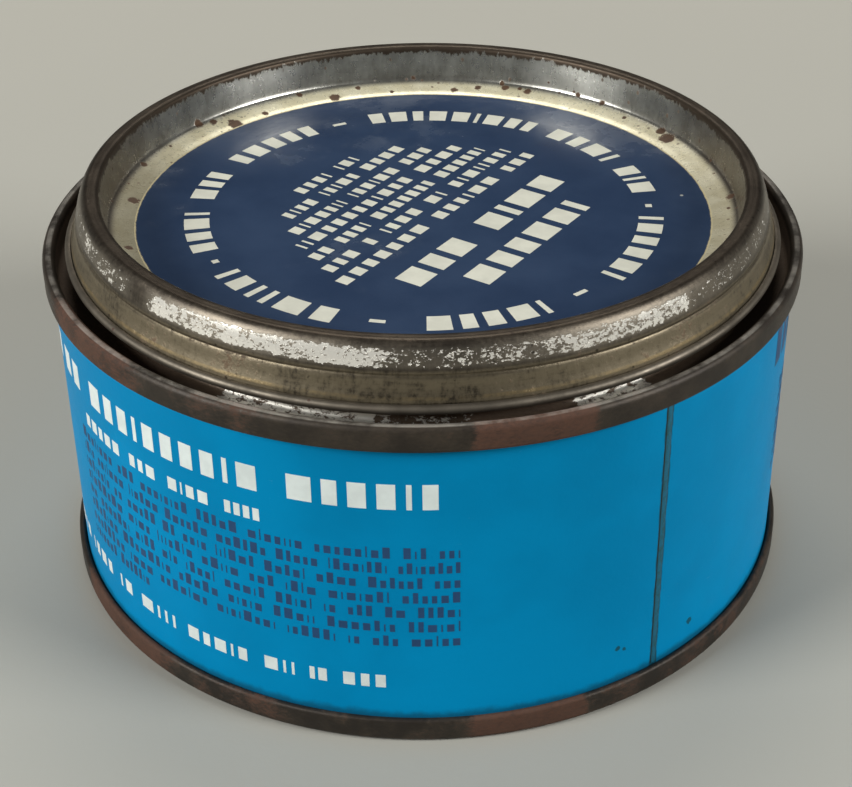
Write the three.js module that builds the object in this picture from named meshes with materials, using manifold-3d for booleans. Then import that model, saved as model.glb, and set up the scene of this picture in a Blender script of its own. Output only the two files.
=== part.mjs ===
// Round paste-wax tin with a slip lid: millimetres, +Z up, resting on z = 0, axis on the Z axis.
// Every sheet piece is one pressed or rolled sheet, drawn as the path of the sheet's middle and turned
// about the axis. The sheets hook into each other in the two double seams the way a can seamer folds them.
import * as THREE from "three";
import Module from "manifold-3d";

// ---- driving dimensions ----
const TIN = 0.28; // sheet thickness of every tinplate piece
const SEGMENTS = 36; // facets round the tin, the same on every piece so that nested walls stay parallel
const SEAM_R = 51.6; // outside radius of both double seams
const RIM_Z = 47.8; // top of the upper double seam
const RIM_SEAM_H = 3.5; // height of the upper double seam
const FOOT_SEAM_H = 3.5; // height of the lower double seam
const LAYER_GAP = 0.07; // compound and air between two folded layers of a seam
const FOLD_STEPS = 5; // facets over a half-turn fold: an odd count leaves a flat land on its tip
const CURL_STEPS = 8; // facets round a rolled edge
const FILLET_STEPS = 3; // facets round a quarter-turn fillet
const HOOK_END = 0.35; // how far a hook stops short of the fold it enters
const SEAL_ROOM = 0.08; // extra room over the body hook for the sealing compound
const SEAL_SLIP = 0.02; // clearance on each side of the sealing compound

const GROOVE_DEPTH = 4.2; // from the rim's top to the middle of the sheet on the groove's floor
const GROOVE_FILLET = 0.9; // fillet radius at both sides of the groove's floor
const CURL_R = 0.8; // outside radius of the rolled mouth
const PLUG_FIT = 0.12; // radial clearance between the lid's plug wall and the neck
const LID_SEAT = 0.05; // gap between the rolled mouth and the lid's crown

const LID_RISE = 7.9; // how far the lid's crown stands above the rim
const PANEL_DROP = 6.3; // how far the lid's centre panel is sunk below the crown
const PANEL_INSET = 12.4; // from the seams' outside to the edge of the flat centre panel
const BAND_W = 3.0; // width of the sloped band round the panel
const BAND_RISE = 0.75; // height of that band
const PLUG_INSET = 8.3; // from the seams' outside to the inside of the plug wall at its top
const PLUG_TAPER = 0.4; // how much narrower the plug wall is at its foot
const HEM_R = 0.6; // outside radius of the hem rolled at the skirt's foot
const SKIRT_FLARE = 2.65; // from the rolled mouth's outside to the hem's centre
const HEM_DROP = 7.7; // from the crown's top down to the hem's centre

const END_PANEL_Z = 4.2; // sunk bottom panel, middle of the sheet
const END_STEP = 0.7; // height of the stiffening step pressed into the bottom panel
const END_STEP_INSET = 14; // from the seams' outside to that step
const END_FILLET = 0.9; // fillet radius round the bottom panel

const SIDE_SEAM_AZ = 305; // azimuth of the side seam, degrees from +X, in the middle of a facet
const LAP_W = 4.5; // width of the lap behind the side seam
const SOLDER_W = 1.0; // width of the solder bead along the side seam
const SOLDER_PROUD = 0.1; // how far the bead stands out of the wall
const SOLDER_DEPTH = 0.16; // how deep the bead sits in the joint between the sheet's two edges
const SOLDER_FIT = 0.03; // gap round the bead
const SEAM_CLEAR = 0.4; // how far lap and bead stop short of the ends and the double seams

const WAX_SHRINK = 0.87; // gap left between the shrunk wax and the wall
const WAX_FOOT = 0.15; // gap between wax and bottom
const HEADSPACE = 11.5; // from the rim's top down to the level of the wax at its edge
const WAX_DISH = 2.2; // how much lower the rubbed-out middle is
const WAX_DISH_INSET = 11.5; // from the wax's side to the edge of the rubbed-out middle

// ---- sizes that follow from the sheet and the seams ----
const HALF = TIN / 2;
const PITCH = TIN + LAYER_GAP; // from one folded layer to the next
const PANEL_LAYER_R = SEAM_R - HALF; // outermost layer: the end's seaming panel
const BODY_HOOK_R = PANEL_LAYER_R - PITCH;
const END_HOOK_R = PANEL_LAYER_R - 2 * PITCH;
const WALL_R = PANEL_LAYER_R - 3 * PITCH; // middle of the body wall
const CHUCK_R = PANEL_LAYER_R - 4 * PITCH; // innermost layer: the end's chuck wall
const FOLD_R = (PANEL_LAYER_R - CHUCK_R) / 2; // the end's fold over the whole seam
const HOOK_FOLD_R = PITCH; // a hook turns back over one layer
const FLAT = Math.cos(Math.PI / (2 * FOLD_STEPS)); // a facet's distance from the centre of a unit fold
const FOLD_Z = FOLD_R * FLAT + HALF; // from a seam's tip to the centre of the end's fold
const HOOK_FOLD_Z = HOOK_FOLD_R * FLAT + HALF; // from a seam's open side to the centre of the hook's fold
const BODY_FOLD_Z = FOLD_Z + SEAL_ROOM; // from the tip to the centre of the body hook's fold
const GROOVE_Z = RIM_Z - GROOVE_DEPTH;
const LID_TOP_Z = RIM_Z + LID_RISE; // highest line of the lid's crown
const PANEL_Z = LID_TOP_Z - PANEL_DROP; // upper face of the lid's centre panel
const PANEL_R = SEAM_R - PANEL_INSET;
const PLUG_R = SEAM_R - PLUG_INSET;
const NECK_R = PLUG_R + TIN + PLUG_FIT + HALF; // middle of the neck wall
const CURL_MID_R = CURL_R - HALF;
const CURL_Z = LID_TOP_Z - TIN - LID_SEAT - CURL_R; // centre of the rolled mouth
const MOUTH_W = TIN + PLUG_FIT + 2 * CURL_R; // from the inside of the plug wall to the mouth's outside
const SEAM_FACE_R = (WALL_R + HALF) * Math.cos(Math.PI / SEGMENTS); // outside of the wall at the side seam
const SOLDER_LOW = FOOT_SEAM_H + SEAM_CLEAR;
const SOLDER_HIGH = RIM_Z - RIM_SEAM_H - SEAM_CLEAR;

const wasm = await Module();
wasm.setup();

// ---- helpers: points are [radius, height] ----
function arc(r, z, radius, fromDeg, toDeg, steps) {
  const points = [];
  for (let i = 0; i <= steps; i++) {
    const a = THREE.MathUtils.degToRad(fromDeg + ((toDeg - fromDeg) * i) / steps);
    points.push([r + radius * Math.cos(a), z + radius * Math.sin(a)]);
  }
  return points;
}

// One side of a sheet: the path moved sideways by the offset, mitred at its corners.
function beside(path, offset) {
  const normal = (a, b) => {
    const d = new THREE.Vector2(b[0] - a[0], b[1] - a[1]).normalize();
    return new THREE.Vector2(-d.y, d.x);
  };
  return path.map((p, i) => {
    const before = i > 0 ? normal(path[i - 1], p) : null;
    const after = i < path.length - 1 ? normal(p, path[i + 1]) : null;
    const n = before && after ? before.clone().add(after).normalize() : (before ?? after).clone();
    const stretch = offset / n.dot(before ?? after);
    return [p[0] + n.x * stretch, p[1] + n.y * stretch];
  });
}

// The outline of a sheet of the given thickness along a path.
function sheet(path, thickness = TIN) {
  return [...beside(path, thickness / 2), ...beside(path, -thickness / 2).reverse()];
}

// Turns an outline about the Z axis. An outline that touches the axis ends there; any other is closed.
function revolve(outline) {
  let area = 0;
  outline.forEach(([r, z], i) => {
    const [nextR, nextZ] = outline[(i + 1) % outline.length];
    area += r * nextZ - nextR * z;
  });
  const ring = area < 0 ? [...outline].reverse() : [...outline];
  if (ring.every(([r]) => r > TIN)) ring.push(ring[0]);
  else while (ring[0][0] > TIN || ring.at(-1)[0] > TIN) ring.push(ring.shift());
  const points = ring.map(([r, z]) => new THREE.Vector2(Math.max(r, 0), z));
  return new THREE.LatheGeometry(points, SEGMENTS).rotateX(Math.PI / 2);
}

function toSolid(geometry) {
  const plain = geometry.toNonIndexed().getAttribute("position");
  const mesh = new wasm.Mesh({
    numProp: 3,
    vertProperties: new Float32Array(plain.array),
    triVerts: Uint32Array.from({ length: plain.count }, (_, i) => i),
  });
  mesh.merge();
  return new wasm.Manifold(mesh);
}

function toGeometry(solid) {
  const mesh = solid.getMesh();
  return new THREE.BufferGeometry()
    .setAttribute("position", new THREE.BufferAttribute(new Float32Array(mesh.vertProperties), 3))
    .setIndex(new THREE.BufferAttribute(new Uint32Array(mesh.triVerts), 1))
    .toNonIndexed();
}

// An upright block on the side seam, between two radii and two heights.
function seamBlock(width, inner, outer, low, high) {
  const block = new THREE.BoxGeometry(outer - inner, width, high - low);
  block.translate((inner + outer) / 2, 0, (low + high) / 2);
  return block.rotateZ(THREE.MathUtils.degToRad(SIDE_SEAM_AZ));
}

// ---- the folds of a double seam, from the wall outwards ----
const RIM_SEAM = { tip: RIM_Z, up: 1, height: RIM_SEAM_H };
const FOOT_SEAM = { tip: 0, up: -1, height: FOOT_SEAM_H };

function endFolds({ tip, up, height }) {
  const middle = (CHUCK_R + PANEL_LAYER_R) / 2;
  const hookMiddle = (END_HOOK_R + PANEL_LAYER_R) / 2;
  return [
    ...arc(middle, tip - up * FOLD_Z, FOLD_R, 180 * up, 0, FOLD_STEPS),
    ...arc(hookMiddle, tip - up * (height - HOOK_FOLD_Z), HOOK_FOLD_R, 0, -180 * up, FOLD_STEPS),
    [END_HOOK_R, tip - up * (BODY_FOLD_Z + HOOK_END / 2)],
  ];
}

function bodyFold({ tip, up, height }) {
  const middle = (WALL_R + BODY_HOOK_R) / 2;
  return [
    ...arc(middle, tip - up * BODY_FOLD_Z, HOOK_FOLD_R, 180 * up, 0, FOLD_STEPS),
    [BODY_HOOK_R, tip - up * (height - HOOK_FOLD_Z - HOOK_END / 2)],
  ];
}

// ---- the pieces ----
function bodyWall() {
  const wall = toSolid(revolve(sheet([...bodyFold(FOOT_SEAM).reverse(), ...bodyFold(RIM_SEAM)])));
  const lapLow = END_PANEL_Z + HALF + SEAM_CLEAR;
  const lapHigh = GROOVE_Z - HALF - SEAM_CLEAR;
  const inside = WALL_R - HALF;
  const lapRing = [
    [inside - TIN, lapLow],
    [inside + HALF / 2, lapLow],
    [inside + HALF / 2, lapHigh],
    [inside - TIN, lapHigh],
  ];
  const lap = toSolid(revolve(lapRing)).intersect(
    toSolid(seamBlock(LAP_W, WALL_R - 2, WALL_R + 2, lapLow - 1, lapHigh + 1)),
  );
  const channel = seamBlock(
    SOLDER_W + 2 * SOLDER_FIT,
    SEAM_FACE_R - SOLDER_DEPTH - SOLDER_FIT,
    WALL_R + 2,
    SOLDER_LOW - SOLDER_FIT,
    SOLDER_HIGH + SOLDER_FIT,
  );
  return toGeometry(wall.add(lap).subtract(toSolid(channel)));
}

function sideSeamSolder() {
  return seamBlock(
    SOLDER_W,
    SEAM_FACE_R - SOLDER_DEPTH,
    SEAM_FACE_R + SOLDER_PROUD,
    SOLDER_LOW,
    SOLDER_HIGH,
  );
}

function bottomEnd() {
  const corner = CHUCK_R - END_FILLET;
  const stepR = SEAM_R - END_STEP_INSET;
  return revolve(
    sheet([
      [0, END_PANEL_Z + END_STEP],
      [stepR, END_PANEL_Z + END_STEP],
      [stepR + 2 * END_STEP, END_PANEL_Z],
      ...arc(corner, END_PANEL_Z - END_FILLET, END_FILLET, 90, 0, FILLET_STEPS),
      ...endFolds(FOOT_SEAM),
    ]),
  );
}

function topRing() {
  const neckCorner = NECK_R + GROOVE_FILLET;
  const chuckCorner = CHUCK_R - GROOVE_FILLET;
  return revolve(
    sheet([
      ...arc(NECK_R + CURL_MID_R, CURL_Z, CURL_MID_R, -110, 180, CURL_STEPS),
      ...arc(neckCorner, GROOVE_Z + GROOVE_FILLET, GROOVE_FILLET, 180, 270, FILLET_STEPS),
      ...arc(chuckCorner, GROOVE_Z + GROOVE_FILLET, GROOVE_FILLET, 270, 360, FILLET_STEPS),
      ...endFolds(RIM_SEAM),
    ]),
  );
}

// The sealing compound fills the crescent between the end's fold and the body hook's fold.
function sealingCompound({ tip, up }) {
  const middle = (CHUCK_R + PANEL_LAYER_R) / 2;
  const outer = FOLD_R - HALF - SEAL_SLIP;
  const inner = HOOK_FOLD_R + HALF + SEAL_SLIP;
  const facet = 180 / FOLD_STEPS;
  const steps = FOLD_STEPS - 2;
  return revolve([
    ...arc(middle, tip - up * FOLD_Z, outer, (180 - facet) * up, facet * up, steps),
    ...arc(middle, tip - up * BODY_FOLD_Z, inner, facet * up, (180 - facet) * up, steps),
  ]);
}

function lid() {
  const hemMid = HEM_R - HALF;
  const hemR = PLUG_R + MOUTH_W + SKIRT_FLARE;
  const hemZ = LID_TOP_Z - HEM_DROP;
  const bandR = PANEL_R + BAND_W;
  const bandZ = PANEL_Z + BAND_RISE;
  const plugFootR = PLUG_R - PLUG_TAPER;
  // from the inside of the plug wall outwards and from the crown's top down, on the middle of the sheet
  const crown = [
    [HALF, 0.6],
    [0.45, 0.1 + HALF],
    [MOUTH_W - 0.8, HALF],
    [MOUTH_W - 0.15, 0.06 + HALF],
    [MOUTH_W + 0.35, 0.8],
    [MOUTH_W + 0.8, 1.8],
    [MOUTH_W + 1.15, 3.0],
    [MOUTH_W + 1.3, 3.7],
    [MOUTH_W + 1.22, 4.0],
    [MOUTH_W + 1.45, 4.35],
  ];
  return revolve(
    sheet([
      [0, PANEL_Z - HALF],
      [PANEL_R, PANEL_Z - HALF],
      [PANEL_R + 0.8, PANEL_Z - HALF + 0.3],
      [bandR, bandZ - HALF],
      [plugFootR - 0.1, bandZ + 0.2],
      [plugFootR + HALF, bandZ + 0.75],
      ...crown.map(([out, down]) => [PLUG_R + out, LID_TOP_Z - down]),
      [hemR - hemMid, hemZ + 0.9],
      ...arc(hemR, hemZ, hemMid, 180, 470, CURL_STEPS),
    ]),
  );
}

function waxCake() {
  const foot = END_PANEL_Z + END_STEP + HALF + WAX_FOOT;
  const side = WALL_R - HALF - WAX_SHRINK;
  const level = RIM_Z - HEADSPACE;
  const dish = side - WAX_DISH_INSET;
  return revolve([
    [0, foot],
    [side, foot],
    [side, level - 0.5],
    [side - 0.6, level],
    [dish + 6, level],
    [dish, level - 0.35 * WAX_DISH],
    [0.65 * dish, level - 0.85 * WAX_DISH],
    [0, level - WAX_DISH],
  ]);
}

// ---- the assembly ----
const PIECES = [
  ["body_wall", bodyWall(), 0x0a7fae, 0.35, 0.3],
  ["side_seam_solder", sideSeamSolder(), 0x6b6f66, 0.55, 0.8],
  ["bottom_end", bottomEnd(), 0x55463c, 0.55, 0.8],
  ["bottom_seam_compound", sealingCompound(FOOT_SEAM), 0x8f8f86, 0.9, 0.0],
  ["top_ring", topRing(), 0x5b4c42, 0.5, 0.8],
  ["top_seam_compound", sealingCompound(RIM_SEAM), 0x8f8f86, 0.9, 0.0],
  ["lid", lid(), 0x6c655b, 0.45, 0.8],
  ["wax_cake", waxCake(), 0xcf9a3c, 0.6, 0.0],
];

const tin = new THREE.Group();
tin.name = "wax_tin";
for (const [name, geometry, color, roughness, metalness] of PIECES) {
  geometry.computeVertexNormals();
  const material = new THREE.MeshStandardMaterial({ color, roughness, metalness });
  const mesh = new THREE.Mesh(geometry, material);
  mesh.name = name;
  tin.add(mesh);
}
export default tin;
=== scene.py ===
"""Round paste-wax tin with a slip lid: the looks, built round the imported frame. Lengths are in
millimetres until a mesh is made, and [radius, height] pairs are turned about the tin's axis."""

import math
import random

import bpy
from mathutils import Matrix, Vector


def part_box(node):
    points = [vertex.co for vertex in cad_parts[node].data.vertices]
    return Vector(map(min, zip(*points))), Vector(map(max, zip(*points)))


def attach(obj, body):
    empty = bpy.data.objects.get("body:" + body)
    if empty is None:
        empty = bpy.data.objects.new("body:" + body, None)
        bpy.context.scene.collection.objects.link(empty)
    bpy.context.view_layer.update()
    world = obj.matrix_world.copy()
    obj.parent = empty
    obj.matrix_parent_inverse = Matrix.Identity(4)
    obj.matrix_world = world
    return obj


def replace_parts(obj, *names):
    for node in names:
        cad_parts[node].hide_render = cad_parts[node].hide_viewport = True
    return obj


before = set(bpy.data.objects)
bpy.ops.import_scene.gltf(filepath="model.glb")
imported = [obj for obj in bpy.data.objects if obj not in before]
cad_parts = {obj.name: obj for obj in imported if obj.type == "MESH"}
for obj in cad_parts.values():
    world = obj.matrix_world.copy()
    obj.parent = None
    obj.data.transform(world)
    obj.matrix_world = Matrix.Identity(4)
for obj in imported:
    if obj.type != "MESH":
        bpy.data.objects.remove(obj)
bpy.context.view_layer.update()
MM = 0.001
SEGMENTS = 288  # divisions round the tin
random.seed(7)

# ---- sizes, the same as the frame's ----
TIN = 0.28  # sheet thickness
LAYER_GAP = 0.07  # between two folded layers of a seam
SEAL_ROOM = 0.08  # over the body hook, for the sealing compound
SEAL_SLIP = 0.02  # clearance on each side of the compound
HOOK_PLAY = 0.18  # how far a hook's end stays clear of the fold round it
RIM_SEAM_H = 3.5
FOOT_SEAM_H = 3.5
GROOVE_DEPTH = 4.2
FILLET_R = 0.9  # round the groove's floor and the bottom panel
PLUG_FIT = 0.12  # between the plug wall and the neck
CURL_R = 0.8  # outside of the rolled mouth
LID_SEAT = 0.05  # between the rolled mouth and the crown
LID_RISE = 7.9
PANEL_DROP = 6.3
PANEL_INSET = 12.4
PLUG_INSET = 8.3
PLUG_TAPER = 0.4
BAND_RISE = 0.75  # of the sloped band round the lid's panel
HEM_R = 0.6
HEM_OUT = 4.65  # from the inside of the plug wall to the hem's centre
HEM_DROP = 7.7  # from the crown's top to the hem's centre
END_PANEL_Z = 4.2
END_STEP = 0.7
END_STEP_INSET = 14
SIDE_SEAM_AZ = 305
SOLDER_PROUD = 0.09
WAX_DISH_INSET = 11.5
PRINT_PROUD = 0.02  # how far the print stands out of its sheet
PRINT_DEPTH = 0.03  # how far its tiles reach into the sheet

HALF = TIN / 2
SEAM_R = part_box("bottom_end")[1].x / MM
LID_TOP_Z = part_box("lid")[1].z / MM
RIM_Z = LID_TOP_Z - LID_RISE
WAX_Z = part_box("wax_cake")[1].z / MM
WAX_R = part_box("wax_cake")[1].x / MM
WAX_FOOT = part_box("wax_cake")[0].z / MM
PITCH = TIN + LAYER_GAP
PANEL_LAYER_R = SEAM_R - HALF
BODY_HOOK_R = PANEL_LAYER_R - PITCH
END_HOOK_R = PANEL_LAYER_R - 2 * PITCH
WALL_R = PANEL_LAYER_R - 3 * PITCH
CHUCK_R = PANEL_LAYER_R - 4 * PITCH
FOLD_R = (PANEL_LAYER_R - CHUCK_R) / 2
FOLD_Z = FOLD_R + HALF
HOOK_FOLD_Z = PITCH + HALF
BODY_FOLD_Z = FOLD_Z + SEAL_ROOM
WALL_OUT = WALL_R + HALF
GROOVE_Z = RIM_Z - GROOVE_DEPTH
PANEL_Z = LID_TOP_Z - PANEL_DROP
PANEL_R = SEAM_R - PANEL_INSET
PLUG_R = SEAM_R - PLUG_INSET
NECK_R = PLUG_R + TIN + PLUG_FIT + HALF
CURL_MID_R = CURL_R - HALF
CURL_Z = LID_TOP_Z - TIN - LID_SEAT - CURL_R
AXIS_R = 1e-6  # a point nearer the axis than this is on it


# ---- shapes ----
def arc(r, z, radius, start, end, steps=14):
    turn = [math.radians(start + (end - start) * i / steps) for i in range(steps + 1)]
    return [(r + radius * math.cos(a), z + radius * math.sin(a)) for a in turn]


def smooth(path, steps=4):
    """A Catmull-Rom curve through the path's points."""
    pts = [path[0], *path, path[-1]]
    out = []
    for a, b, c, d in zip(pts, pts[1:], pts[2:], pts[3:]):
        for i in range(steps):
            t = i / steps
            out.append(
                tuple(
                    0.5
                    * (
                        2 * q
                        + (r - p) * t
                        + (2 * p - 5 * q + 4 * r - s) * t * t
                        + (3 * q - p - 3 * r + s) * t**3
                    )
                    for p, q, r, s in zip(a, b, c, d)
                )
            )
    return [*out, path[-1]]


def beside(path, offset):
    """The path moved sideways by the offset, mitred at its corners."""
    out = []
    for i, p in enumerate(path):
        sides = []
        for a, b in ((i - 1, i), (i, i + 1)):
            if 0 <= a and b < len(path):
                dx, dz = path[b][0] - path[a][0], path[b][1] - path[a][1]
                size = math.hypot(dx, dz)
                sides.append((-dz / size, dx / size))
        nx, nz = (sum(s[k] for s in sides) for k in (0, 1))
        size = math.hypot(nx, nz)
        nx, nz = nx / size, nz / size
        stretch = offset / max(nx * sides[0][0] + nz * sides[0][1], 0.5)
        out.append((p[0] + nx * stretch, p[1] + nz * stretch))
    return out


def make_mesh(name, verts, faces, zones, materials, body, sharp=40):
    mesh = bpy.data.meshes.new(name)
    mesh.from_pydata([Vector(v) * MM for v in verts], [], faces)
    for material in materials:
        mesh.materials.append(material)
    mesh.polygons.foreach_set("material_index", zones)
    mesh.polygons.foreach_set("use_smooth", [True] * len(faces))
    mesh.set_sharp_from_angle(angle=math.radians(sharp))
    mesh.update()
    piece = bpy.data.objects.new(name, mesh)
    bpy.context.scene.collection.objects.link(piece)
    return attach(piece, body)


def turned(name, rings, materials, body, warp=None):
    """Turns a closed outline about Z. A ring is (radius, height, zone of the face to the next)."""
    area = sum(a[0] * b[1] - b[0] * a[1] for a, b in zip(rings, [*rings[1:], rings[0]]))
    if area < 0:
        flipped = rings[::-1]
        rings = [(p[0], p[1], q[2]) for p, q in zip(flipped, [*flipped[1:], flipped[0]])]
    verts, starts = [], []
    for r, z, _ in rings:
        starts.append(len(verts))
        if r < AXIS_R:
            verts.append((0, 0, z))
            continue
        for i in range(SEGMENTS):
            a = 2 * math.pi * i / SEGMENTS
            rr, zz = warp(r, z, a) if warp else (r, z)
            verts.append((rr * math.cos(a), rr * math.sin(a), zz))
    faces, zones = [], []
    for k, (r, _, zone) in enumerate(rings):
        j = (k + 1) % len(rings)
        a, b, next_r = starts[k], starts[j], rings[j][0]
        if r < AXIS_R and next_r < AXIS_R:
            continue
        for i in range(SEGMENTS):
            n = (i + 1) % SEGMENTS
            if r < AXIS_R:
                faces.append((a, b + n, b + i))
            elif next_r < AXIS_R:
                faces.append((a + i, a + n, b))
            else:
                faces.append((a + i, a + n, b + n, b + i))
            zones.append(zone)
    return make_mesh(name, verts, faces, zones, materials, body)


def sheet(path, left=0, right=1):
    """The outline of a sheet along a path, with a zone for each of its sides."""
    one, two = beside(path, HALF), beside(path, -HALF)[::-1]
    return [(*p, left) for p in one] + [(*p, right) for p in two]


def end_folds(tip, up, height):
    """The end's sheet over a seam and under the body's hook. up is 1 at the rim and -1 at the foot."""
    return [
        *arc((CHUCK_R + PANEL_LAYER_R) / 2, tip - up * FOLD_Z, FOLD_R, 180 * up, 0),
        *arc(
            (END_HOOK_R + PANEL_LAYER_R) / 2,
            tip - up * (height - HOOK_FOLD_Z),
            PITCH,
            0,
            -180 * up,
            8,
        ),
        (END_HOOK_R, tip - up * (BODY_FOLD_Z + HOOK_PLAY)),
    ]


def body_fold(tip, up, height):
    """The body's hook inside a seam."""
    return [
        *arc((WALL_R + BODY_HOOK_R) / 2, tip - up * BODY_FOLD_Z, PITCH, 180 * up, 0, 8),
        (BODY_HOOK_R, tip - up * (height - HOOK_FOLD_Z - HOOK_PLAY)),
    ]


def compound(tip, up):
    """The outline of the bead of compound under the end's fold."""
    middle = (CHUCK_R + PANEL_LAYER_R) / 2
    outer = arc(middle, tip - up * FOLD_Z, FOLD_R - HALF - SEAL_SLIP, 150 * up, 30 * up, 8)
    inner = arc(middle, tip - up * BODY_FOLD_Z, PITCH + HALF + SEAL_SLIP, 30 * up, 150 * up, 8)
    return [(*p, 0) for p in outer + inner]


def on_wall(az, z, proud=0.0):
    """The point at an azimuth and height, proud of the body wall."""
    a, r = math.radians(az), WALL_OUT + proud
    return (r * math.cos(a), r * math.sin(a), z)


# ---- materials ----
def srgb(r, g, b):
    def line(c):
        c /= 255
        return c / 12.92 if c <= 0.04045 else ((c + 0.055) / 1.055) ** 2.4

    return (line(r), line(g), line(b), 1.0)


class Value:
    """A socket or a number in a material, with arithmetic that makes Math nodes."""

    def __init__(self, m, socket):
        self.m, self.socket = m, socket

    def __add__(self, other):
        return self.m.math("ADD", self, other)

    def __sub__(self, other):
        return self.m.math("SUBTRACT", self, other)

    def __rsub__(self, other):
        return self.m.math("SUBTRACT", other, self)

    def __mul__(self, other):
        return self.m.math("MULTIPLY", self, other)

    __radd__, __rmul__ = __add__, __mul__


class Surface:
    """A procedural material. Its coordinates are the tin's own, in millimetres and degrees."""

    def __init__(self, name):
        self.material = bpy.data.materials.new(name)
        self.material.use_nodes = True
        self.tree = self.material.node_tree
        self.shader = self.tree.nodes["Principled BSDF"]
        place = self.tree.nodes.new("ShaderNodeTexCoord").outputs["Object"]
        scale = self.new("ShaderNodeVectorMath", operation="SCALE")
        self.tree.links.new(place, scale.inputs[0])
        scale.inputs["Scale"].default_value = 1 / MM
        self.place = scale.outputs[0]
        parts = self.new("ShaderNodeSeparateXYZ")
        self.tree.links.new(self.place, parts.inputs[0])
        self.x, self.y, self.z = (Value(self, s) for s in parts.outputs)
        self.radius = self.math("SQRT", self.x * self.x + self.y * self.y)
        turn = self.math("ARCTAN2", self.y, self.x) * math.degrees(1)
        self.az = self.math("FLOORED_MODULO", turn + 360, 360)

    def new(self, kind, **settings):
        node = self.tree.nodes.new(kind)
        for key, value in settings.items():
            setattr(node, key, value)
        return node

    def put(self, socket, value):
        if isinstance(value, Value):
            self.tree.links.new(value.socket, socket)
        else:
            socket.default_value = value

    def math(self, operation, a, b=0.0):
        node = self.new("ShaderNodeMath", operation=operation)
        self.put(node.inputs[0], a)
        self.put(node.inputs[1], b)
        return Value(self, node.outputs[0])

    def least(self, a, b):
        return self.math("MINIMUM", a, b)

    def most(self, a, b):
        return self.math("MAXIMUM", a, b)

    def step(self, value, low, high, to_low=0.0, to_high=1.0):
        """A smooth step from to_low at low to to_high at high. high may be the smaller of the two."""
        node = self.new("ShaderNodeMapRange", interpolation_type="SMOOTHSTEP")
        for socket, v in zip(node.inputs, (value, low, high, to_low, to_high)):
            self.put(socket, v)
        return Value(self, node.outputs[0])

    def band(self, value, low, high, soft):
        """1 between low and high, falling to 0 over soft on both sides."""
        return self.step(value, low - soft, low) * self.step(value, high, high + soft, 1.0, 0.0)

    def stretched(self, across, up):
        """The place with its horizontal and vertical parts scaled, for a stretched pattern."""
        node = self.new("ShaderNodeVectorMath", operation="MULTIPLY")
        self.tree.links.new(self.place, node.inputs[0])
        node.inputs[1].default_value = (across, across, up)
        return node.outputs[0]

    def noise(self, scale, detail=4.0, rough=0.55, stretch=None, shift=0.0, warp=0.0):
        node = self.new("ShaderNodeTexNoise", noise_dimensions="4D" if shift else "3D")
        place = self.stretched(*stretch) if stretch else self.place
        self.tree.links.new(place, node.inputs["Vector"])
        node.inputs["Scale"].default_value = scale
        node.inputs["Detail"].default_value = detail
        node.inputs["Roughness"].default_value = rough
        node.inputs["Distortion"].default_value = warp
        if shift:
            node.inputs["W"].default_value = shift
        return Value(self, node.outputs["Fac"])

    def cells(self, scale, stretch=None):
        """Distance to the nearest of scattered points, in cells, and a random number for each."""
        node = self.new("ShaderNodeTexVoronoi")
        place = self.stretched(*stretch) if stretch else self.place
        self.tree.links.new(place, node.inputs["Vector"])
        node.inputs["Scale"].default_value = scale
        parts = self.new("ShaderNodeSeparateXYZ")
        self.tree.links.new(node.outputs["Color"], parts.inputs[0])
        return Value(self, node.outputs["Distance"]), Value(self, parts.outputs[0])

    def mix(self, share, a, b):
        node = self.new("ShaderNodeMix", data_type="RGBA")
        self.put(node.inputs[0], share)
        self.put(node.inputs[6], a)
        self.put(node.inputs[7], b)
        return Value(self, node.outputs[2])

    def spots(self, places, ragged=0.5):
        """Ragged spots at (azimuth, radius, height, size): 1 inside, 0 outside."""
        total = None
        edge = self.noise(1.1, 5.0, 0.7, shift=3.0)
        for az, r, z, size in places:
            a = math.radians(az)
            node = self.new("ShaderNodeVectorMath", operation="DISTANCE")
            self.tree.links.new(self.place, node.inputs[0])
            node.inputs[1].default_value = (r * math.cos(a), r * math.sin(a), z)
            distance = Value(self, node.outputs["Value"])
            uneven = distance + (edge - 0.5) * (4 * ragged * size)
            near = self.step(uneven, size * 0.75, size * 1.15, 1.0, 0.0)
            total = near if total is None else self.most(total, near)
        return total

    def finish(self, colour, rough, metal=0.0, bump=None, bump_mm=0.02, **more):
        self.put(self.shader.inputs["Base Color"], colour)
        self.put(self.shader.inputs["Roughness"], rough)
        self.put(self.shader.inputs["Metallic"], metal)
        for key, value in more.items():
            self.put(self.shader.inputs[key.replace("_", " ")], value)
        if bump is not None:
            node = self.new("ShaderNodeBump")
            node.inputs["Distance"].default_value = bump_mm * MM
            self.put(node.inputs["Height"], bump)
            self.tree.links.new(node.outputs[0], self.shader.inputs["Normal"])
        return self.material


# the colour of the painted shade under the lid's hem
HEM_SHADE = srgb(44, 36, 30)
DEEP_RUST = srgb(66, 38, 26)
BRIGHT = srgb(236, 232, 222)


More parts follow.
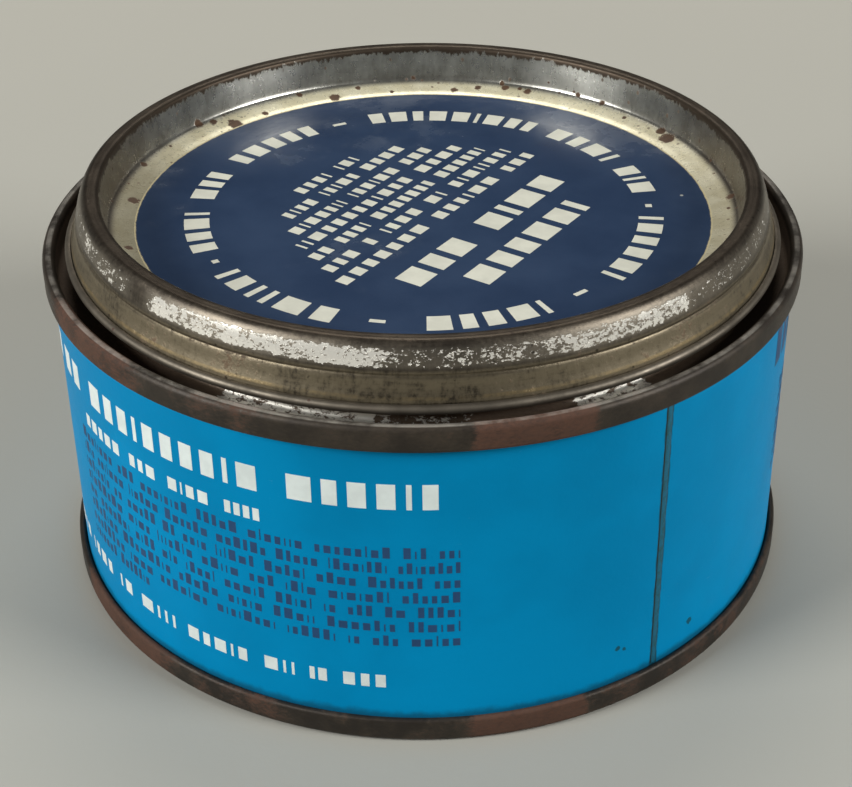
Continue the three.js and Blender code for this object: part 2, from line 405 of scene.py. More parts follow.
def tarnished_tin():
    """Seams, groove and neck: brown tarnish, rust in places, a lighter rust-brown in the groove that is
    partly painted fill light, bright tin at the neck's root and along the seam's top that is partly
    painted glint and highlight.
    """
    m = Surface("tarnished_tin")
    cloud = m.noise(0.22, 5.0, 0.6)
    grain = m.noise(1.6, 4.0, 0.65, stretch=(1.0, 2.2))
    base = m.mix(m.step(cloud * 0.7 + grain * 0.3, 0.38, 0.66), srgb(46, 40, 34), srgb(66, 58, 49))
    rust_zone = (
        1.3 * m.band(m.az, 206, 224, 7)
        + 1.7 * m.band(m.az, 277, 291, 2.5)
        + 0.55 * m.band(m.az, 236, 246, 5)
        + 0.5 * m.band(m.az, 20, 60, 20)
        + 0.45 * m.band(m.az, 300, 330, 9) * m.step(m.z, 8, 6)
        + 0.3 * m.step(m.z, 8, 6)
    )
    rust = m.step(cloud * 0.7 + grain * 0.35 + rust_zone * 0.2, 0.6, 0.86)
    base = m.mix(rust * 0.75, base, m.mix(grain, srgb(62, 44, 35), srgb(104, 64, 44)))
    groove = m.step(m.z, RIM_Z - 0.7, RIM_Z - 1.5) * m.step(m.z, GROOVE_Z - 1, GROOVE_Z - 0.5)
    groove = groove * m.step(m.radius, 50.1, 49.98)
    # painted fill light: the groove gets a lighter rust-brown than the tarnish, partly rust and partly
    # painted light where the groove lies in shade
    base = m.mix(groove * 0.8, base, m.mix(grain, srgb(84, 70, 58), srgb(120, 102, 84)))
    # the root of the neck, rubbed bright by the lid's hem; the bright tin is set only at the azimuths
    # where it glints, so it is partly wear and partly painted glints
    root = m.step(m.radius + (m.noise(0.9, 5.0, 0.7, shift=8.0) - 0.5) * 2.4, 45.9, 45.3) * groove
    root_az = (
        m.band(m.az, 237, 261, 1.5)
        + m.band(m.az, 294, 306, 1.5)
        + 0.62 * m.band(m.az, 261, 276, 3)
    )
    streaks = m.noise(2.2, 4.0, 0.7, stretch=(0.5, 1.1), shift=5.0)
    wear_and_glint = m.step(streaks + 0.28 * root_az, 0.7, 0.79) * root
    most_rust = m.most(rust, groove - root)
    # a thin bright line along the rim seam's top: partly rubbed tin, partly painted highlight
    edge = m.band(m.z, RIM_Z - 0.05, RIM_Z + 0.5, 0.06) * m.step(cloud, 0.35, 0.65) * 0.22
    wear_and_glint = m.most(wear_and_glint, edge)
    colour = m.mix(wear_and_glint, base, BRIGHT)
    rough = m.step(grain * 0.5 + most_rust * 0.8 - wear_and_glint * 0.5, 0.0, 1.0, 0.46, 0.8)
    return m.finish(
        colour,
        rough,
        m.most(0.5 - most_rust * 0.4, wear_and_glint * 0.7),
        bump=grain * 0.5 + m.noise(4.5, 3.0) * 0.3 + rust * 0.4,
        bump_mm=0.05,
    )


def plain_tin(name, tint, rough=0.42):
    """The insides: dull grey tin with the blue-grey flowering of old tinplate."""
    m = Surface(name)
    cloud = m.noise(0.18, 5.0, 0.6)
    flower, _ = m.cells(0.35)
    speck, which = m.cells(0.6)
    dark = m.step(speck, 0.16, 0.1) * m.step(which, 0.75, 0.8)
    colour = m.mix(m.step(cloud, 0.3, 0.7), tint, tuple(0.55 * c for c in tint[:3]) + (1.0,))
    colour = m.mix(dark * 0.8, colour, DEEP_RUST)
    return m.finish(
        colour,
        m.step(cloud + flower * 0.3, 0.3, 1.0, rough - 0.08, rough + 0.18),
        0.9 - dark * 0.6,
        bump=flower * 0.4 + m.noise(2.2, 3.0) * 0.4,
        bump_mm=0.03,
    )


BLUE = srgb(0, 130, 182)


def blue_litho():
    """Blue enamel: grime along the side seam and above the foot seam, a painted shadow under the rim
    seam, a few nicks and scuffs.
    """
    m = Surface("blue_litho")
    cloud = m.noise(0.06, 3.0, 0.5)
    peel = m.noise(1.8, 3.0, 0.6)
    base = m.mix(m.step(cloud, 0.35, 0.65), srgb(0, 129, 181), srgb(0, 137, 191))
    seam = m.step(m.math("ABSOLUTE", m.az - SIDE_SEAM_AZ), 0.62, 0.85, 1.0, 0.0)
    grime = seam * m.step(m.noise(0.8, 5.0, 0.7, stretch=(1, 0.35)), 0.35, 0.6)
    at_foot = m.step(m.z + m.noise(0.5) * 1.6, 5.4, 4.2) * 0.55
    # painted shadow: a dark band on the wall just under the rim seam
    under_rim_shadow = m.step(m.z - m.noise(0.5) * 1.0, 43.7, 44.4) * 0.6
    scratch = m.noise(3.2, 2.0, 0.5, stretch=(0.35, 1.9), warp=1.5)
    scuffed = m.step(scratch, 0.72, 0.76) * m.step(m.noise(0.12, 3.0, shift=9.0), 0.55, 0.7)
    places = [(298.2, 50.5, 8.6, 0.35), (299.3, 50.5, 8.2, 0.3), (312.5, 50.5, 6.9, 0.5)]
    marks = m.spots(places, 0.9)
    colour = m.mix(scuffed * 0.35, base, srgb(150, 200, 215))
    colour = m.mix(m.most(grime * 0.75, marks * 0.8), colour, srgb(30, 62, 60))
    # darkens the wall with grime above the foot seam and with painted shadow under the rim seam
    colour = m.mix(at_foot + under_rim_shadow, colour, srgb(24, 52, 58))
    rough = m.step(peel * 0.4 + cloud * 0.6 + grime, 0.3, 1.2, 0.36, 0.6)
    return m.finish(
        colour,
        rough,
        0.0,
        bump=peel * 0.5 + scuffed * 0.4 + m.noise(0.35, 2.0) * 1.2,
        bump_mm=0.035,
        Specular_IOR_Level=0.03,
    )


def ink(name, tint, under, scale=1.0):
    """Printing ink on the enamel, thin where it was rubbed."""
    m = Surface(name)
    wear = m.step(m.noise(1.7 * scale, 6.0, 0.75), 0.66, 0.74)
    cloud = m.noise(0.3, 3.0)
    dull = tuple(0.86 * c for c in tint[:3]) + (1.0,)
    colour = m.mix(m.step(cloud, 0.3, 0.7), tint, dull)
    return m.finish(
        m.mix(wear * 0.5, colour, under),
        m.step(cloud, 0.2, 0.8, 0.35, 0.5),
        0.0,
        bump=m.noise(2.5, 3.0),
        bump_mm=0.02,
    )


def side_solder():
    """The bead along the side seam: blue paint thinned to solder, dark along both edges."""
    m = Surface("side_solder")
    grain = m.noise(1.2, 5.0, 0.7, stretch=(1, 0.5))
    edge = m.step(m.math("ABSOLUTE", m.az - SIDE_SEAM_AZ), 0.34, 0.46)
    base = m.mix(m.step(grain, 0.42, 0.7), srgb(2, 104, 134), srgb(34, 84, 88))
    colour = m.mix(edge * m.step(grain, 0.15, 0.4), base, srgb(34, 46, 38))
    return m.finish(colour, m.step(grain, 0.2, 0.8, 0.4, 0.7), 0.3, bump=grain, bump_mm=0.06)


def lid_outside():
    """Crown and skirt: brown tarnish, a shoulder rubbed back to bright tin under a painted sheen,
    painted shade in the fold between shoulder and skirt and under the hem, and painted highlight lines
    on the hem.
    """
    m = Surface("lid_crown")
    cloud = m.noise(0.16, 5.0, 0.6)
    grain = m.noise(1.5, 5.0, 0.65)
    streak = m.noise(1.0, 4.0, 0.6, stretch=(2.2, 0.25))
    round_it = m.noise(1.0, 4.0, 0.6, stretch=(0.2, 3.0))
    down = LID_TOP_Z - m.z
    tone = cloud * 0.4 + grain * 0.25 + streak * 0.2 + round_it * 0.15
    base = m.mix(m.step(tone, 0.38, 0.62), srgb(66, 60, 53), srgb(100, 92, 81))
    skirt = m.step(down, 3.1, 3.9)
    base = m.mix(skirt * 0.55 * m.step(tone, 0.34, 0.5), base, srgb(154, 142, 117))
    base = m.mix(m.step(down, 0.35, 0.0) * 0.5, base, srgb(64, 54, 45))
    rust = m.step(cloud * 0.5 + grain * 0.5 + skirt * 0.06, 0.6, 0.72)
    base = m.mix(rust * 0.6, base, srgb(92, 62, 40))
    # painted highlights: two pale gold lines along the hem's roll
    lines = m.band(down, 6.4, 6.6, 0.2) + 0.5 * m.band(down, 7.45, 7.65, 0.15)
    hem = lines * m.step(m.radius, 47.0, 47.3)
    base = m.mix(hem * m.step(cloud + grain * 0.5, 0.55, 0.85) * 0.8, base, srgb(150, 132, 98))
    # painted shade under the hem's roll
    under_hem_shade = m.band(down, 7.75, 8.6, 0.2)
    base = m.mix(under_hem_shade * 0.7, base, HEM_SHADE)
    # the rubbed shoulder: fine flecks of bright tin, thickest in the listed azimuth windows where they
    # catch the light, so partly wear and partly painted glints; a painted sheen lightens the shoulder in
    # the same windows
    shoulder = m.band(down, 1.15, 2.65, 0.75) * m.step(m.radius, 44.6, 45.2)
    fleck_and_sheen_azimuths = (
        m.band(m.az, 226, 261, 4)
        + 0.66 * m.band(m.az, 264, 288, 3)
        + 0.86 * m.band(m.az, 291, 312, 3)
        + 0.62 * m.band(m.az, 203, 217, 4)
        + 0.5 * m.band(m.az, 316, 330, 4)
        + 0.5 * m.band(m.az, 335, 350, 5)
        + 0.5 * m.band(m.az, 185, 200, 5)
        + 0.45 * m.band(m.az, 10, 165, 20)
    )
    fine = m.noise(2.3, 4.0, 0.7, stretch=(0.75, 1.25), shift=2.0)
    patch = m.noise(0.4, 3.0, shift=4.0) - 0.5
    painted_sheen = m.least(fleck_and_sheen_azimuths, 1.0) * shoulder
    # painted sheen: the shoulder's base is lightened in the same azimuth windows
    base = m.mix(painted_sheen * 0.6, base, srgb(160, 152, 138))
    wear_and_glint = m.step(fine + fleck_and_sheen_azimuths * 0.33 * shoulder + patch * 0.4 * painted_sheen, 0.75, 0.8)
    colour = m.mix(wear_and_glint, base, BRIGHT)
    pits, which = m.cells(0.9)
    pit = m.step(pits, 0.24, 0.12) * m.step(which, 0.7, 0.75) * m.step(fine, 0.4, 0.55)
    colour = m.mix(pit * 0.75, colour, srgb(40, 33, 28))
    # painted shade: a dark line in the fold between shoulder and skirt
    crease_shade = m.band(down, 3.75, 4.1, 0.25) * m.step(cloud, 0.3, 0.6)
    colour = m.mix(crease_shade * 0.55, colour, srgb(44, 37, 31))
    rough = m.step(tone * 0.5 + rust * 0.5 - wear_and_glint * 0.5, -0.2, 0.8, 0.26, 0.62)
    return m.finish(
        colour,
        rough,
        0.88 - rust * 0.4 - wear_and_glint * 0.45,
        bump=grain * 0.4 + streak * 0.3 + rust * 0.4 - wear_and_glint * 0.3 + m.noise(4.0, 2.0) * 0.2,
        bump_mm=0.05,
    )


# rust on the sloped band: azimuth, radius, size
RUST_SPOTS = [
    (30, 41.4, 1.3),
    (33, 42.2, 0.8),
    (1, 42.4, 0.7),
    (357, 41.6, 0.35),
    (16, 42.8, 0.35),
    (43, 41.5, 0.4),
    (50, 42.6, 0.5),
    (56, 43.0, 0.5),
    (54, 43.1, 0.3),
    (67, 41.8, 0.7),
    (69, 42.1, 0.4),
    (72, 41.9, 0.6),
    (73, 42.6, 0.4),
    (78, 41.3, 0.6),
    (83, 40.4, 0.6),
    (88, 41.0, 0.25),
    (97, 40.0, 0.35),
    (104, 41.7, 0.5),
    (110, 40.1, 0.9),
    (117, 42.3, 0.5),
    (127, 40.0, 0.5),
    (135, 40.0, 1.2),
    (138.5, 42.1, 0.6),
    (142, 42.8, 0.8),
    (152, 41.8, 0.25),
    (161.5, 42.2, 0.6),
    (170, 42.0, 0.25),
    (176, 40.2, 1.0),
    (196, 40.4, 0.6),
    (215, 41.5, 0.7),
    (243, 41.0, 0.5),
    (262, 42.3, 0.8),
    (288, 40.8, 0.6),
    (311, 42.0, 0.9),
    (338, 40.9, 0.5),
]


def lid_well():
    """The plug wall in grey tin and the sloped band under it in pale gold lacquer, both with rust."""
    m = Surface("lid_well")
    cloud = m.noise(0.25, 4.0, 0.6)
    grain = m.noise(1.4, 4.0, 0.6, stretch=(1, 0.6))
    fine = m.noise(1.1, 4.0, 0.6, stretch=(2.0, 0.3))
    wall_foot = PANEL_Z + 0.9
    wall = m.step(m.z, wall_foot - 0.35, wall_foot + 0.1)
    lacquer = m.mix(m.step(cloud, 0.3, 0.7), srgb(238, 232, 204), srgb(214, 206, 174))
    shade = m.band(m.az, 168, 214, 26) + 0.5 * (m.band(m.az, 330, 400, 20) + m.step(m.az, 22, 2))
    lacquer = m.mix(shade * 0.6, lacquer, srgb(112, 104, 84))
    # painted shade: the plug wall's grey tin darkens to brown-grey away from the back, across the sides
    # and front
    side = m.step(m.math("ABSOLUTE", m.az - 92), 38, 92)
    side = m.step(m.least(side + m.step(m.az, 180, 200), 1.0), 0, 1)
    tin = m.mix(m.step(fine * 0.25 + cloud * 0.75, 0.35, 0.65), srgb(184, 183, 175), srgb(146, 144, 136))
    tin = m.mix(side * 0.75, tin, srgb(112, 100, 86))
    sheen = m.band(m.az, 49, 62, 7) + m.band(m.az, 119, 131, 7)
    tin = m.mix(sheen * 0.2, tin, srgb(226, 226, 220))
    base = m.mix(wall, lacquer, tin)
    places = []
    for az, r, size in RUST_SPOTS:
        places.append((az, r, PANEL_Z + (0.3 if r < 41 else 0.6 if r < 42.5 else 1.1), size))
    for az, up, size in ((57, 1.6, 0.3), (63, 2.2, 0.25), (92, 1.2, 0.5)):
        places.append((az, 43.1, PANEL_Z + up, size))
    rust = m.spots(places, 0.55)
    distance, which = m.cells(0.8, stretch=(1, 0.7))
    near = m.step(m.noise(0.09, 2.0, shift=6.0), 0.45, 0.6)
    small = m.step(distance, 0.24, 0.14) * m.step(which - near * 0.12, 0.72, 0.76)
    small = small * m.step(grain, 0.3, 0.5)
    rust = m.most(rust, small * 0.8)
    ragged = m.noise(1.6, 5.0, 0.7, stretch=(1, 0.4)) * 0.6 + m.noise(0.3, 2.0, shift=7.0) * 0.4
    top = m.step(m.z + (ragged - 0.5) * 4.0, LID_TOP_Z - 1.05, LID_TOP_Z - 0.75)
    colour = m.mix(rust, base, m.mix(grain, srgb(58, 42, 32), srgb(104, 78, 58)))
    colour = m.mix(top, colour, srgb(74, 64, 54))
    rough = m.step(grain * 0.4 + rust * 0.8 + top * 0.4, 0.0, 1.2, 0.25, 0.7)
    return m.finish(
        colour,
        rough,
        0.35 + wall * 0.5 - rust * 0.3,
        bump=grain * 0.3 + cloud * 0.4 + rust * 0.6,
        bump_mm=0.04,
    )


def lid_panel():
    """Navy enamel, hazy, with a painted sheen towards the back, a few nicks, and a lacquered edge."""
    m = Surface("lid_panel")
    cloud = m.noise(0.07, 4.0, 0.55)
    peel = m.noise(1.6, 3.0, 0.6)
    base = m.mix(m.step(cloud, 0.3, 0.7), srgb(32, 50, 77), srgb(42, 60, 87))
    # a cloudy film on the enamel plus a painted sheen that grows towards the back of the panel
    haze_and_back_sheen = m.step(m.noise(0.11, 5.0, 0.6, shift=1.5) + m.step(m.y, 5, 38) * 0.16, 0.56, 0.8)
    base = m.mix(haze_and_back_sheen * 0.12, base, srgb(120, 130, 140))
    tick, which = m.cells(0.16)
    nick = m.step(tick, 0.05, 0.03) * m.step(which, 0.6, 0.65)
    base = m.mix(nick * 0.8, base, srgb(170, 172, 165))
    rim = m.step(m.radius + (m.noise(0.7, 4.0, 0.7) - 0.5) * 0.35, 39.0, 39.2)
    base = m.mix(rim, base, srgb(196, 184, 146))
    return m.finish(
        base,
        m.step(cloud * 0.5 + haze_and_back_sheen * 0.5, 0.2, 0.8, 0.22, 0.38),
        0.0,
        bump=peel * 0.5 + m.noise(0.3, 2.0) * 1.0 + nick,
        bump_mm=0.03,
        Specular_IOR_Level=0.35,
    )


def wax():
    """Amber paste wax, drier and browner at its edge."""
    m = Surface("paste_wax")
    cloud = m.noise(0.1, 5.0, 0.6)
    swirl = m.noise(0.5, 4.0, 0.6, warp=1.2)
    colour = m.mix(m.step(cloud, 0.3, 0.7), srgb(214, 160, 78), srgb(178, 118, 48))
    dry = m.step(m.radius + (cloud - 0.5) * 14, 37, 48)
    colour = m.mix(dry * 0.5, colour, srgb(146, 98, 48))
    return m.finish(
        colour,
        m.step(swirl, 0.2, 0.8, 0.38, 0.6),
        0.0,
        bump=swirl * 1.2 + m.noise(2.5, 4.0) * 0.4,
        bump_mm=0.25,
        Subsurface_Weight=0.15,
        Subsurface_Scale=0.002,
    )


def compound_skin():
    m = Surface("seal_compound")
    cloud = m.noise(0.9, 4.0)
    colour = m.mix(m.step(cloud, 0.3, 0.7), srgb(120, 120, 112), srgb(96, 95, 88))
    return m.finish(colour, m.step(cloud, 0.2, 0.8, 0.7, 0.9), 0.0, bump=cloud, bump_mm=0.05)


tarnish = tarnished_tin()
inside_tin = plain_tin("inside_tin", srgb(150, 148, 140))
under_tin = plain_tin("underside_tin", srgb(128, 120, 108), 0.5)
blue = blue_litho()
white_ink = ink("white_ink", srgb(228, 238, 236), BLUE)
navy_ink = ink("navy_ink", srgb(14, 66, 112), BLUE, 1.4)
panel_ink = ink("panel_ink", srgb(208, 208, 194), srgb(70, 84, 108), 1.2)

# ---- the can ----
wall = turned(
    "body_wall_sheet",
    sheet([*body_fold(0, -1, FOOT_SEAM_H)[::-1], *body_fold(RIM_Z, 1, RIM_SEAM_H)], 1, 0),
    [blue, inside_tin],
    "can",
)
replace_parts(wall, "body_wall")

corner = CHUCK_R - FILLET_R
step_r = SEAM_R - END_STEP_INSET
step_z = END_PANEL_Z + END_STEP
bottom = turned(
    "bottom_end_sheet",
    sheet(
        [
            (0, step_z),
            (step_r - 12, step_z),
            *smooth(
                [(step_r - 0.3, step_z), (step_r + 0.7, END_PANEL_Z + 0.4), (step_r + 1.6, END_PANEL_Z)]
            ),
            (corner - 6, END_PANEL_Z),
            *arc(corner, END_PANEL_Z - FILLET_R, FILLET_R, 90, 0, 8),
            *end_folds(0, -1, FOOT_SEAM_H),
        ],
        1,
        0,
    ),
    [tarnish, inside_tin],
    "can",
)
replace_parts(bottom, "bottom_end")

ring = turned(
    "top_ring_sheet",
    sheet(
        [
            *arc(NECK_R + CURL_MID_R, CURL_Z, CURL_MID_R, -110, 180, 20),
            (NECK_R, (CURL_Z + GROOVE_Z) / 2),
            *arc(NECK_R + FILLET_R, GROOVE_Z + FILLET_R, FILLET_R, 180, 270, 8),
            *arc(CHUCK_R - FILLET_R, GROOVE_Z + FILLET_R, FILLET_R, 270, 360, 8),
            *end_folds(RIM_Z, 1, RIM_SEAM_H),
        ]
    ),
    [tarnish, inside_tin],
    "can",
)
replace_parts(ring, "top_ring")

seal_skin = compound_skin()
for name, tip, up in (("bottom_seam_compound", 0, -1), ("top_seam_compound", RIM_Z, 1)):
    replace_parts(turned(name + "_bead", compound(tip, up), [seal_skin], "can"), name)


def side_bead():
    """The solder along the side seam: a low rounded strip on the wall with a wiped, uneven edge."""
    end_gap, depth = 0.1, 0.12
    low, high = FOOT_SEAM_H + end_gap, RIM_Z - RIM_SEAM_H - end_gap
    across, rows = 8, 90
    verts, faces = [], []
    for j in range(rows + 1):
        z = low + (high - low) * j / rows
        wide = 0.5 + 0.02 * math.sin(z * 0.9) + random.uniform(-0.015, 0.015)
        for i in range(across + 1):
            t = -1 + 2 * i / across
            az = SIDE_SEAM_AZ + math.degrees(wide * t / WALL_OUT)
            verts.append(on_wall(az, z, SOLDER_PROUD * (1 - t * t) ** 0.5 + 0.004))
        for t in (1, -1):
            verts.append(on_wall(SIDE_SEAM_AZ + math.degrees(wide * t / WALL_OUT), z, -depth))
    n = across + 3
    for j in range(rows):
        for i in range(n):
            k = (i + 1) % n
            faces.append((j * n + i, j * n + k, (j + 1) * n + k, (j + 1) * n + i))
    faces += [tuple(range(n))[::-1], tuple(rows * n + i for i in range(n))]
    zones = [0] * len(faces)
    return make_mesh("side_seam_bead", verts, faces, zones, [side_solder()], "can")


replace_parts(side_bead(), "side_seam_solder")

dish_r = WAX_R - WAX_DISH_INSET
cake_top = smooth(
    [
        (WAX_R, WAX_Z - 0.6),
        (WAX_R - 0.5, WAX_Z - 0.1),
        (WAX_R - 2.0, WAX_Z),
        (dish_r + 6, WAX_Z - 0.05),
        (dish_r, WAX_Z - 0.8),
        (0.65 * dish_r, WAX_Z - 1.9),
        (0.3 * dish_r, WAX_Z - 2.2),
        (0, WAX_Z - 2.25),
    ],
    8,
)


def rubbed(r, z, a):
    """Shallow swirls left by the cloth, cut into the cake and never raised above it."""
    if z < WAX_Z - 3 or r > WAX_R - 1:
        return r, z
    swirl = math.sin(r * 1.1 + 3 * a) * 0.5 + math.sin(r * 0.45 - 2 * a + 1.3) * 0.8
    return r, z - 0.16 * (1.3 + swirl) * min(1, (WAX_R - 1 - r) / 6)


cake_foot = [(0, WAX_FOOT), (WAX_R - 0.4, WAX_FOOT), (WAX_R, WAX_FOOT + 0.3)]
cake = turned(
    "wax_cake_surface",
    [(*point, 0) for point in cake_foot + cake_top],
    [wax()],
    "can",
    warp=rubbed,
)
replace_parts(cake, "wax_cake")

# ---- the lid ----
hem_mid = HEM_R - HALF
hem_r = PLUG_R + HEM_OUT
hem_z = LID_TOP_Z - HEM_DROP
band_z = PANEL_Z + BAND_RISE
# crown and skirt: (out from the inside of the plug wall, down from the top)
crown = [
    (-PLUG_TAPER + HALF, LID_TOP_Z - band_z - 0.75),
    (-0.18 + HALF, 3.0),
    (HALF, 0.75),
    (0.38, 0.3),
    (0.72, HALF + 0.03),
    (1.2, HALF + 0.03),
    (1.75, 0.07 + HALF),
    (2.3, 0.72),
    (2.78, 1.8),
    (3.12, 2.98),
    (3.26, 3.6),
    (3.24, 3.95),
    (3.45, 4.35),
    (3.75, 5.6),
]
outside = [(PLUG_R + out, LID_TOP_Z - down) for out, down in crown]
lid_path = [
    (0, PANEL_Z - HALF),
    (PANEL_R - 6, PANEL_Z - HALF),
    *smooth(
        [
            (PANEL_R, PANEL_Z - HALF),
            (PANEL_R + 0.8, PANEL_Z - HALF + 0.28),
            (PANEL_R + 2.0, band_z - HALF - 0.25),
            (PANEL_R + 3.0, band_z - HALF + 0.02),
            (PLUG_R - 0.5, band_z + 0.22),
            (PLUG_R - PLUG_TAPER + HALF, band_z + 0.75),
        ]
    )[:-1],
    *smooth([*outside, (hem_r - hem_mid, hem_z + 0.9)]),
    *arc(hem_r, hem_z, hem_mid, 180, 470, 20),
]


def lid_zone(r, z):
    """Which material is on the lid's upper side: panel, well or crown."""
    if r < PANEL_R + 0.05:
        return 0
    return 1 if r < PLUG_R + 0.45 and z < LID_TOP_Z - 0.2 else 2


over, under = beside(lid_path, HALF), beside(lid_path, -HALF)[::-1]
lid = turned(
    "lid_sheet",
    [(*p, lid_zone((p[0] + q[0]) / 2, p[1])) for p, q in zip(over, [*over[1:], over[-1]])]
    + [(*p, 3) for p in under],
    [lid_panel(), lid_well(), lid_outside(), under_tin],
    "lid",
)
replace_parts(lid, "lid")


# ---- the print: plain blocks in the place of lines of print ----
def blocks(start, end, counts, gap, space=0.8):
    """Blocks of uneven width from start to end, in words of the given counts: (from, to) for each."""
    widths = [[random.choice((0.55, 0.9, 1.0, 1.1, 1.25)) for _ in range(count)] for count in counts]
    unit = (end - start) / (sum(map(sum, widths)) + (len(counts) - 1) * space)
    at, out = start, []
    for word in widths:
        for width in word:
            out.append((at + unit * gap / 2, at + unit * (width - gap / 2)))
            at += unit * width
        at += unit * space
    return out


class Decals:
    """Thin closed tiles that stand in for printed lines, joined into one piece."""

    def __init__(self):
        self.verts, self.faces = [], []

    def add(self, place, u0, u1, v0, v1, step):
        """A thin closed tile between (u0, v0) and (u1, v1), where place(u, v, proud) is a point."""
        n = max(1, math.ceil(abs(u1 - u0) / step))
        first = len(self.verts)
        for i in range(n + 1):
            u = u0 + (u1 - u0) * i / n
            self.verts += [place(u, v0, PRINT_PROUD), place(u, v1, PRINT_PROUD)]
            self.verts += [place(u, v1, -PRINT_DEPTH), place(u, v0, -PRINT_DEPTH)]
        for i in range(n):
            a, b = first + 4 * i, first + 4 * i + 4
            for k in range(4):
                m = (k + 1) % 4
                self.faces.append((a + k, b + k, b + m, a + m))
        self.faces.append((first, first + 1, first + 2, first + 3))
        last = first + 4 * n
        self.faces.append((last + 3, last + 2, last + 1, last))

    def piece(self, name, material, body, slot):
        zones = [0] * len(self.faces)
        return make_mesh(name, self.verts, self.faces, zones, [material], body, 30)


ARC_STEP = 1.2  # degrees from one cut across a tile on the wall to the next
white, navy = Decals(), Decals()
# lowest and highest point, gap between blocks, and each word as (from, to, how many) in degrees
for low, high, gap, words in (
    (35.7, 39.3, 0.36, ((184, 198, 4), (199.8, 208.6, 2), (211.5, 247, 10), (250, 272, 6))),
    (31.3, 33.1, 0.38, ((209, 220, 5), (222, 228.4, 3), (230.4, 238.4, 4), (240.6, 246.6, 4))),
    (8.1, 10.1, 0.38, ((190, 202, 5), (203.5, 212.5, 4), (214.5, 219, 2), (220.7, 229.7, 4))),
    (8.1, 10.1, 0.38, ((231.4, 243, 5), (245, 250.6, 3), (252.2, 255.3, 2), (257, 264, 3))),
    (27.0, 35.0, 0.3, ((48, 84, 5), (90, 122, 4))),
    (18.5, 22.0, 0.36, ((58, 76, 4), (80, 92, 3), (96, 112, 4))),
    (8.1, 10.1, 0.38, ((62, 74, 4), (77, 92, 5), (95, 108, 4))),
):
    for start, end, count in words:
        for u0, u1 in blocks(start, end, [count], gap):
            white.add(on_wall, u0, u1, low, high, ARC_STEP)
for u0, u1 in blocks(334.0, 378.0, [4, 5], 0.3):
    navy.add(on_wall, u0, u1, 36.5, 42.0, ARC_STEP)


def small_print(top, rows, start, end, last_end):
    """Rows of small blocks in words of 2 to 8, with the last row shorter."""
    line_height = 2.26
    for row in range(rows):
        z = top - line_height * row
        stop = end if row < rows - 1 else last_end
        counts = [random.randint(2, 8)]
        while sum(counts) < 0.62 * (stop - start):
            counts.append(random.randint(2, 8))
        for u0, u1 in blocks(start, stop, counts, 0.42, 0.9):
            tall = 0.5 if random.random() < 0.3 else 0.0
            navy.add(on_wall, u0, u1, z - 0.62, z + 0.5 + tall, ARC_STEP)


small_print(29.1, 8, 206.5, 274.4, 224.0)
small_print(31.0, 7, 340.0, 380.0, 372.0)
small_print(40.0, 6, 138.0, 178.0, 160.0)
white.piece("wall_print_white", white_ink, "can", "blue_litho")
navy.piece("wall_print_navy", navy_ink, "can", "blue_litho")

panel = Decals()
PRINT_TURN = math.radians(235.3)  # the way the panel's lines run
RING_STEP = 1.5  # degrees from one cut across a tile on the panel's ring to the next


def on_ring(az, r, proud):
    a = math.radians(az)
    return (r * math.cos(a), r * math.sin(a), PANEL_Z + proud)


def on_panel(u, v, proud):
    c, s = math.cos(PRINT_TURN), math.sin(PRINT_TURN)
    return (u * c - v * s, u * s + v * c, PANEL_Z + proud)


# the ring of blocks: from, to, how many
for start, end, count in (
    (355, 319, 6),
    (300, 269, 5),
    (250, 213, 6),
    (203, 180, 4),
    (174, 157, 3),
    (151, 121, 5),
    (106, 57, 9),
    (53, 28, 4),
    (24, 7, 3),
):
    for u0, u1 in blocks(start, end, [count], 0.34):
        panel.add(on_ring, u0, u1, 29.3, 32.7, RING_STEP)
for az in (309.2, 258.8, 114.2):
    panel.add(on_ring, az + 1.9, az - 1.9, 30.5, 31.2, RING_STEP)
for az in (208.0, 360.0):
    panel.add(on_ring, az + 0.8, az - 0.8, 30.4, 31.3, RING_STEP)
# the panel's lines: middle, height, from, to, blocks in each word, gap between blocks
for v, height, start, end, counts, gap in (
    (16.9, 4.0, -13.4, 13.8, [6], 0.28),
    (9.9, 4.0, -18.3, 19.0, [4, 3], 0.28),
    (2.9, 1.9, -23.2, 23.6, [3, 6, 7], 0.4),
    (-0.6, 1.9, -22.4, 21.9, [8, 2, 4, 1, 3], 0.4),
    (-4.0, 1.9, -20.6, 20.2, [6, 7, 4, 2], 0.4),
    (-7.3, 1.9, -19.5, 18.7, [4, 12], 0.4),
    (-10.6, 1.9, -16.4, 16.0, [3, 6, 7], 0.4),
    (-14.2, 1.9, -14.6, 12.8, [4, 5, 4], 0.4),
    (-17.5, 1.9, -8.0, 6.0, [3, 4], 0.4),
):
    for u0, u1 in blocks(start, end, counts, gap):
        panel.add(on_panel, u0, u1, v - height / 2, v + height / 2, 50)
panel.piece("lid_print", panel_ink, "lid", "lid_tin")

# ---- the stage ----
REACH = 4  # metres from the tin to the floor's edges
floor_mesh = bpy.data.meshes.new("floor")
corners = [(-REACH, -REACH, 0), (REACH, -REACH, 0), (REACH, REACH, 0), (-REACH, REACH, 0)]
floor_mesh.from_pydata(corners, [], [(0, 1, 2, 3)])
floor = bpy.data.objects.new("floor", floor_mesh)
bpy.context.scene.collection.objects.link(floor)
# painted light: the floor grows lighter towards the back, standing in for light that falls off towards
# the front
paper = Surface("floor_paper")
floor_mesh.materials.append(
    paper.finish(
        paper.mix(
            paper.step(paper.y + paper.noise(0.01, 2.0) * 40, -40, 330),
            srgb(164, 163, 155),
            srgb(187, 185, 175),
        ),
        0.9,
        0.0,
        bump=paper.noise(0.8),
        bump_mm=0.02,
    )
)


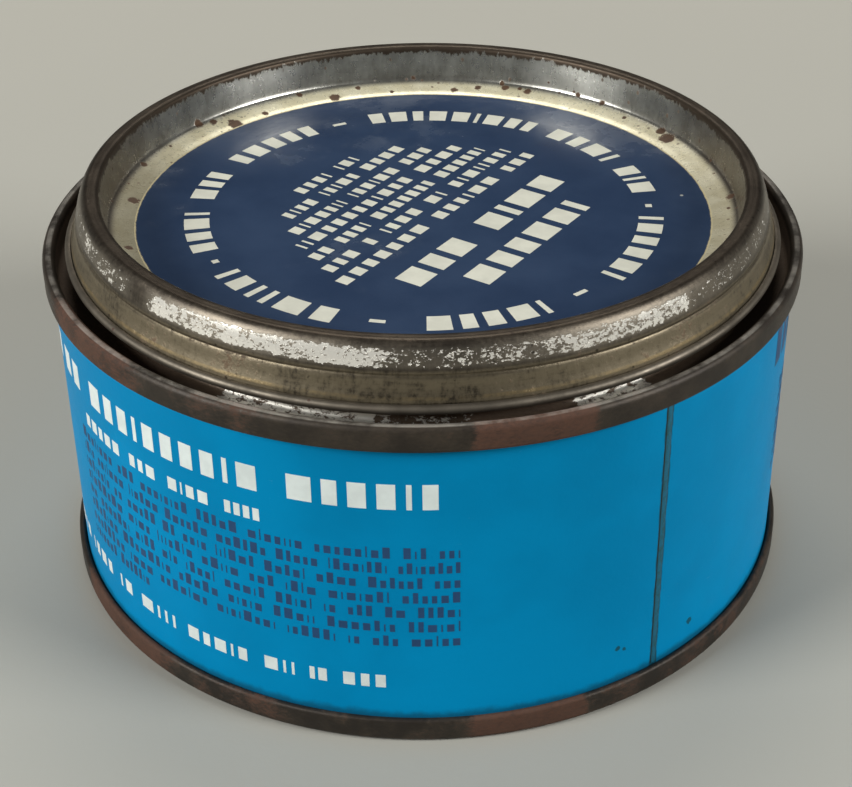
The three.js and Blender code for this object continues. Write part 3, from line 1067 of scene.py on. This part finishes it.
def area_light(name, azimuth, elevation, distance, size, power, tint):
    """A round soft light that faces the tin. Angles are in degrees, lengths in metres."""
    light = bpy.data.lights.new(name, "AREA")
    light.shape = "DISK"
    light.size = size
    light.energy = power
    light.color = tint
    lamp = bpy.data.objects.new(name, light)
    a, e = math.radians(azimuth), math.radians(elevation)
    aim = Vector((math.cos(a) * math.cos(e), math.sin(a) * math.cos(e), math.sin(e)))
    lamp.location = aim * distance
    lamp.rotation_euler = (-lamp.location).to_track_quat("-Z", "Y").to_euler()
    bpy.context.scene.collection.objects.link(lamp)


area_light("left_softbox", 206, 31, 1.0, 0.42, 9.2, (1, 1, 0.98))
area_light("right_softbox", 337, 32, 1.0, 0.42, 7.5, (1, 1, 0.98))
area_light("back_softbox", 92, 60, 1.3, 0.7, 5, (1, 0.97, 0.91))

world = bpy.data.worlds.new("studio")
bpy.context.scene.world = world
world.use_nodes = True
sky = world.node_tree.nodes["Background"]
sky.inputs["Color"].default_value = (0.86, 0.87, 0.88, 1)
sky.inputs["Strength"].default_value = 0.05

bpy.context.scene.view_settings.view_transform = "Standard"

# ---- the camera ----
PICTURE_W = 852  # the picture's width, in which the focal length and the shift are given
SENSOR_W = 36
camera_data = bpy.data.cameras.new("camera")
camera_data.sensor_width = SENSOR_W
camera_data.lens = 1754.26 / PICTURE_W * SENSOR_W
camera_data.shift_x = camera_data.shift_y = -60 / PICTURE_W
camera_data.clip_start = 0.01
camera = bpy.data.objects.new("camera", camera_data)
bpy.context.scene.collection.objects.link(camera)
bpy.context.scene.camera = camera
pitch, yaw, roll = math.radians(31.04), math.radians(2.2675), math.radians(0.356)
ahead = Vector((math.sin(yaw) * math.cos(pitch), math.cos(yaw) * math.cos(pitch), -math.sin(pitch)))
level = Vector((math.cos(yaw), -math.sin(yaw), 0))
upward = level.cross(ahead)
right = level * math.cos(roll) + upward * math.sin(roll)
up = upward * math.cos(roll) - level * math.sin(roll)
turn = Matrix((right, up, -ahead)).transposed()
camera.matrix_world = Matrix.Translation((0, -0.21537, 0.15891)) @ turn.to_4x4()
